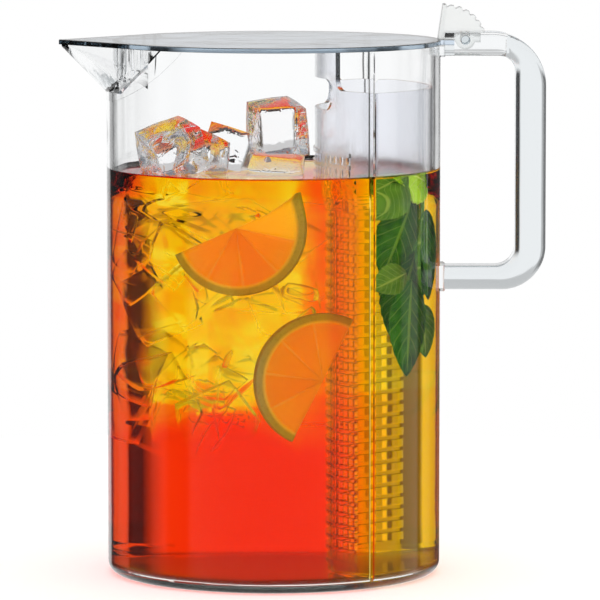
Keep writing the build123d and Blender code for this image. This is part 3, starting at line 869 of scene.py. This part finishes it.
def mint_leaf(name, root, tip, facing, width, cup=0.18, curl=0.12, teeth=9.0):
    """A pointed oval leaf: a grid along its length and across it, with a toothed edge, cupped and curling.

    Half width at u is width / 2 * sin(pi u^0.8)^0.8 with saw teeth, and never quite nothing at the ends. The
    sides rise as the square of their distance from the middle, and the tip curls away as u^2. The under
    side is the same grid a leaf's thickness behind.
    """
    root, tip, facing = (np.asarray(part, float) for part in (root, tip, facing))
    along = tip - root
    length = np.linalg.norm(along)
    along = along / length
    facing = facing - (facing @ along) * along
    facing = facing / np.linalg.norm(facing)
    aside = np.cross(facing, along)
    u = np.linspace(0.0, 1.0, 41)
    v = np.linspace(-1.0, 1.0, 17)
    u_grid, v_grid = np.meshgrid(u, v, indexing="ij")
    saw = 1 + 0.07 * (np.modf(u_grid * teeth)[0] - 0.5) * (np.abs(v_grid) > 0.6)
    oval = np.clip(np.sin(math.pi * u_grid**0.8), 0, 1) ** 0.8
    half = width / 2 * oval * saw + LEAF_END - LEAF_END_TAPER * u_grid
    side = np.abs(v_grid)
    veins = VEIN_RELIEF * np.cos(2 * math.pi * (u_grid * 7 - side * 1.9)) * side * (1 - side)
    lift = cup * width * (v_grid**2) - curl * length * u_grid**2 + veins
    top = (
        root
        + (u_grid * length)[..., None] * along
        + (half * v_grid)[..., None] * aside
        + lift[..., None] * facing
    )
    under = top - LEAF_THICKNESS * facing
    rows, columns = u_grid.shape
    ring = np.concatenate([top, under[:, ::-1]], axis=1)
    points, faces = closed_rings(ring)
    piece = mesh_piece(name, points, faces)
    both_sides = np.concatenate([v_grid, v_grid[:, ::-1]], axis=1).ravel()
    store(piece, "along", np.concatenate([np.repeat(u, columns * 2), [0.0, 1.0]]))
    store(piece, "across", np.concatenate([both_sides, [0.0, 0.0]]))
    return mended(piece)


def stem(name, route, thick):
    """A square mint stem carried along a smooth route: corners of its section at thick from the middle."""
    route = np.asarray(route, float)
    knots = np.linspace(0, 1, len(route))
    fine = np.linspace(0, 1, 60)
    line = np.stack([np.interp(fine, knots, route[:, i]) for i in range(3)], axis=1)
    kernel = np.hanning(13) / np.hanning(13).sum()
    padded = np.vstack([np.repeat(line[:1], 6, 0), line, np.repeat(line[-1:], 6, 0)])
    line = np.stack([np.convolve(padded[:, i], kernel, "valid") for i in range(3)], axis=1)
    run = np.gradient(line, axis=0)
    run /= np.linalg.norm(run, axis=1, keepdims=True)
    side = np.cross(run, np.array([0, 1.0, 0]))
    side /= np.linalg.norm(side, axis=1, keepdims=True)
    other = np.cross(run, side)
    turn = np.linspace(0, 2 * math.pi, 16, endpoint=False)
    reach = thick * (1 + 0.12 * np.cos(4 * turn))
    rings = (
        line[:, None]
        + (reach * np.cos(turn))[None, :, None] * side[:, None]
        + (reach * np.sin(turn))[None, :, None] * other[:, None]
    )
    points, faces = closed_rings(rings)
    piece = mesh_piece(name, points, faces)
    store(piece, "along", np.concatenate([np.repeat(fine, 16), [0, 1]]))
    store(piece, "across", np.full(len(points), 0.5))
    return mended(piece)


# ---------------------------------------------------------------- finish

jug_clear = clear_plastic("jug_clear", gloss=0.008, marks=0.02, density=25.0, shine=0.12)
handle_clear = clear_plastic("handle_clear", gloss=0.045, marks=0.04, density=60.0, waves=0.3)
# The lid's blue-grey tint is partly the plastic's own tint and partly painted reflection of the grey ceiling.
lid_clear = clear_plastic("lid_clear", tint=(0.72, 0.80, 0.90), density=30.0)
infuser_clear = wetted_plastic("infuser_clear")
lever_frosted = clear_plastic("lever_frosted", gloss=0.3, tint=(0.98, 0.985, 0.97), density=30.0)
use(nodes["jug_body"], jug_clear)
use(nodes["handle"], handle_clear)
use(nodes["lid"], lid_clear)
for node in ("infuser_back", "infuser_screen"):
    use(nodes[node], infuser_clear)
use(nodes["infuser_base"], wetted_plastic("infuser_foot_clear", seat=INFUSER_FOOT + SEAT_FILM))
use(nodes["thumb_lever"], lever_frosted)
use(nodes["hinge_pin"], clear_plastic("pin_clear", gloss=0.06, density=120.0))

# ---------------------------------------------------------------- contents

liquid = liquid_body()
use(liquid, water_material())
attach(liquid, "jug")

tea = mesh_piece("tea", *joined([tea_body(), inside_out(ice_hollow())]))
use(tea, tint_only("tea_tint", (0.998, 0.893, 0.0), 280.0))
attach(tea, "jug")

sunken_ice = mesh_piece("sunken_ice", *joined(sunken_blocks()))
sunken_look = ice_material("ice_in_tea", SUNKEN_ICE_INDEX, cloud=0.0, rough=0.0, relief=0.03, cracks=0.0)
use(sunken_ice, sunken_look)
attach(sunken_ice, "jug")

chips = mesh_piece("air_between_ice", *joined(air_chips()))
chip_look = ice_material("air_pocket", AIR_POCKET_INDEX, cloud=0.0, rough=0.0, relief=0.05, cracks=0.0)
use(chips, chip_look)
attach(chips, "jug")

steeping = mesh_piece("steeping_tea", *screen_side_prism(-1))
use(steeping, tint_only("steeping_tint", (0.985, 0.86, 0.0), 220.0))
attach(steeping, "jug")

# The liquid stays in the jug when the infuser is lifted, so the brew clears the infuser's floor by the lift.
brew_foot = INFUSER_FLOOR + INFUSER_LIFT + BREW_CLEARANCE
brew = mesh_piece("brew", *upright_prism(lens_outline(), brew_foot, LEVEL - TINT_INSET, (40 * MM, 0)))
use(brew, tint_only("brew_tint", (0.997, 0.985, 0.70), 36.0))
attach(brew, "jug")

FLOATING = [
    ((1.4, -8.0, 185.0), (9.8, 9.6, 11.2), (12, -8, 24)),
    ((1.6, -20.0, 170.2), (11.2, 9.0, 4.4), (3, 4, -10)),
    ((-42.0, -18.0, 176.2), (11.5, 10.0, 9.6), (14, -22, 30)),
    ((-31.0, -4.0, 174.0), (9.0, 9.0, 7.5), (-12, 24, 50)),
    ((-17.0, 6.0, 175.0), (9.6, 10.0, 8.2), (-10, 14, -20)),
]
floating = []
for i, (at, half, turn) in enumerate(FLOATING):
    at, half = np.array(at) * MM, np.array(half) * MM
    floating.append(ice_block(at, half, turn, 300 + i, square=0.86, warp=0.16))
floating_ice = mesh_piece("floating_ice", *joined(floating))
floating_look = ice_material("ice_in_air", ICE_INDEX, cloud=0.12, rough=0.01, relief=0.3, cracks=0.15)
use(floating_ice, floating_look)
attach(floating_ice, "jug")

orange_look = orange_material()
for i, place in enumerate(ORANGES):
    piece = orange_slice("orange_slice_%d" % (i + 1), place, i * ORANGE_SEGMENTS)
    use(piece, orange_look)
    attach(piece, "jug")

lime = leaf_material("leaf_lime", (0.34, 0.62, 0.02), (0.60, 0.86, 0.06), (0.85, 0.95, 0.30))
dark_green = leaf_material("leaf_dark", (0.02, 0.13, 0.01), (0.06, 0.26, 0.02), (0.22, 0.48, 0.06))
mid_green = leaf_material("leaf_mid", (0.08, 0.26, 0.03), (0.20, 0.42, 0.06), (0.45, 0.66, 0.16))
LEAVES = [
    ("lime", (57, -13, 157), (40, -26, 161), (0.1, -1, 0.5), 11),
    ("mid", (50, -20, 158), (36, -30, 150), (0.1, -1, 0.3), 11),
    ("dark", (50, -20, 155), (39, -27, 126), (0.1, -1, 0.1), 18),
    ("dark", (55, -12, 152), (56, -10, 114), (0.45, -0.9, 0.1), 13),
    ("mid", (49, -25, 127), (36, -30, 121), (0.1, -1, 0.2), 13),
    ("dark", (50, -19, 124), (48, -21, 84), (0.2, -1, 0.0), 17),
    ("dark", (49, -10, 134), (40, -14, 100), (0.2, -1, 0.0), 18),
    ("dark", (46, 0, 155), (38, 4, 118), (-0.2, -1, 0.1), 18),
    ("mid", (50, -2, 112), (52, -4, 90), (0.3, -1, 0.1), 12),
]
looks = {"lime": lime, "dark": dark_green, "mid": mid_green}
for i, (look, root, tip, facing, width) in enumerate(LEAVES):
    root, tip = np.array(root) * MM, np.array(tip) * MM
    piece = mint_leaf("mint_leaf_%d" % (i + 1), root, tip, facing, width * MM)
    use(piece, looks[look])
    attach(piece, "infuser")
SPRIG = [(54, -13, 158), (51, -13, 135), (52, -12, 110), (50, -10, 92)]
sprig = stem("mint_stem", np.array(SPRIG) * MM, 1.1 * MM)
use(sprig, mid_green)
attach(sprig, "infuser")

# ---------------------------------------------------------------- stage


def studio_bands_group():
    """Brightness of the studio by direction: white windows and grey cards, under a grey wall and ceiling.

    The cards stand about the horizon, and fade out above it and below it. The direction's angle from +Y
    towards +X is read as a share of a turn, 0.5 straight back. Through is what is seen through glass, and
    Mirrored what glass reflects, for which the cards beside the back window are wider.
    """
    group, given, gives = new_group(
        "studio_bands", [("Vector", "vector", (0, 1, 0))], [("Through", "color"), ("Mirrored", "color")]
    )
    parts = add(group, "ShaderNodeSeparateXYZ", Vector=given["Vector"]).outputs
    angle = math_node(group, "ARCTAN2", parts["X"], parts["Y"])
    share = math_node(group, "ADD", math_node(group, "DIVIDE", angle, 2 * math.pi), 0.5)
    white, middling, pale, slate, card, dim, black = (
        rgb(*[grey] * 3) for grey in (1.0, 0.55, 0.5, 0.20, 0.24, 0.08, 0.05)
    )
    through = [
        (-120, white), (-118, card), (-100, card), (-98, white), (-84, white), (-82, card), (-80, pale),
        (-63, pale), (-60, black), (-57.5, black), (-56, white), (-40.5, white), (-38.5, slate),
        (-29.5, slate), (-28, middling), (-20, middling), (-17, white), (21.5, white), (29.5, black),
        (37, black), (38.5, white), (52, white), (55, dim), (62, dim), (64, card), (82, card),
        (84, white), (98, white), (100, card), (118, card), (120, white),
    ]
    mirrored = [
        (-120, white), (-118, dim), (-27, dim), (-24, white), (8, white), (12, dim), (60, dim), (63, white),
        (80, white), (82, dim), (118, dim), (120, white),
    ]
    up = add(group, "ShaderNodeVectorMath", {"operation": "NORMALIZE"}, Vector=given["Vector"])
    rise = add(group, "ShaderNodeSeparateXYZ", Vector=up.outputs["Vector"]).outputs["Z"]
    height = math_node(group, "ADD", math_node(group, "MULTIPLY", rise, 0.5), 0.5)
    cards_end = rgb(0, 0, 0)
    beyond_cards = ramp(group, height, [(0.36, white), (0.41, cards_end), (0.59, cards_end), (0.64, white)])
    wall, ceiling = rgb(0.62, 0.62, 0.62), rgb(0.3, 0.3, 0.3)
    level = ramp(group, height, [(0.512, white), (0.53, wall), (0.71, wall), (0.81, ceiling)])
    for label, stops in (("Through", through), ("Mirrored", mirrored)):
        tone = ramp(group, share, [((turn + 180) / 360, colour) for turn, colour in stops])
        tone = mixed(group, beyond_cards, tone, white)
        dimmed = add(group, "ShaderNodeVectorMath", {"operation": "MULTIPLY"})
        group.links.new(tone, dimmed.inputs[0])
        group.links.new(level, dimmed.inputs[1])
        group.links.new(dimmed.outputs["Vector"], gives[label])
    return group


studio_bands = studio_bands_group()
FLOOR_RADIUS = 0.45
FLOOR_SIDES = 96
FLOOR_SINK = 0.2 * MM  # keeps it clear of the jug's foot
FLOOR_GLOW = 0.1
FLOOR_GLOW_SEEN = 0.24  # straight from the camera

turn = np.linspace(0, 2 * math.pi, FLOOR_SIDES, endpoint=False)
edge = np.stack([FLOOR_RADIUS * np.cos(turn), FLOOR_RADIUS * np.sin(turn), 0 * turn], axis=1)
floor_points = np.vstack([edge, [[0, 0, 0]]]) - np.array([0, 0, FLOOR_SINK])
floor = mesh_piece("floor", floor_points, [(i, (i + 1) % FLOOR_SIDES, FLOOR_SIDES) for i in range(FLOOR_SIDES)])
floor_look, tree, output = new_material("floor_white")
path = add(tree, "ShaderNodeLightPath").outputs
diffuse = add(tree, "ShaderNodeBsdfDiffuse", Color=rgb(0.9, 0.9, 0.9))
strength = blended(tree, path["Is Camera Ray"], FLOOR_GLOW, FLOOR_GLOW_SEEN)
glow = add(tree, "ShaderNodeEmission", Color=rgb(1, 1, 1), Strength=strength)
lit = add(tree, "ShaderNodeAddShader")
tree.links.new(diffuse.outputs["BSDF"], lit.inputs[0])
tree.links.new(glow.outputs["Emission"], lit.inputs[1])
# Rays through or off the clear plastic pass the floor and see the studio beyond it.
beyond = math_node(tree, "MAXIMUM", path["Is Transmission Ray"], path["Is Glossy Ray"])
unseen = add(tree, "ShaderNodeBsdfTransparent")
shown = shader_blend(tree, beyond, lit.outputs["Shader"], unseen.outputs["BSDF"])
tree.links.new(shown, output.inputs["Surface"])
floor_look.cycles.emission_sampling = "NONE"
use(floor, floor_look)

world = bpy.data.worlds.new("studio")
bpy.context.scene.world = world
world.cycles.sampling_method = "NONE"
world.use_nodes = True
tree = world.node_tree
tree.nodes.clear()
world_out = tree.nodes.new("ShaderNodeOutputWorld")
direction = add(tree, "ShaderNodeTexCoord").outputs["Generated"]
bands = placed(tree, studio_bands, Vector=direction).outputs
path = add(tree, "ShaderNodeLightPath").outputs
bright = rgb(CONTENTS_LIGHT, CONTENTS_LIGHT, CONTENTS_LIGHT)
white = rgb(1, 1, 1)
# The studio is plain white but for the cards, seen through clear plastic or mirrored in it, and the
# brighter white that lights the matt contents through the jug.
found = mixed(tree, path["Is Glossy Ray"], white, bands["Mirrored"])
found = mixed(tree, path["Is Transmission Ray"], found, bands["Through"])
off_matt = math_node(tree, "GREATER_THAN", path["Diffuse Depth"], 0.5)
found = mixed(tree, off_matt, found, mixed(tree, path["Is Transmission Ray"], white, bright))
found = mixed(tree, path["Is Camera Ray"], found, white)
back = add(tree, "ShaderNodeBackground", Color=found, Strength=1.0)
tree.links.new(back.outputs["Background"], world_out.inputs["Surface"])

camera_data = bpy.data.cameras.new("camera")
camera = bpy.data.objects.new("camera", camera_data)
bpy.context.scene.collection.objects.link(camera)
camera.location = (CAMERA_X, -CAMERA_DISTANCE, CAMERA_HEIGHT)
camera.rotation_euler = (math.radians(90 - CAMERA_PITCH), 0, 0)
camera_data.lens = CAMERA_LENS
camera_data.sensor_width = 36.0
camera_data.clip_start = 0.05
camera_data.clip_end = 20
bpy.context.scene.camera = camera

scene = bpy.context.scene
scene.view_settings.view_transform = "Standard"
scene.cycles.blur_glossy = 0.0
scene.cycles.max_bounces = 32
scene.cycles.transmission_bounces = 32
scene.cycles.glossy_bounces = 16
scene.cycles.transparent_max_bounces = 32
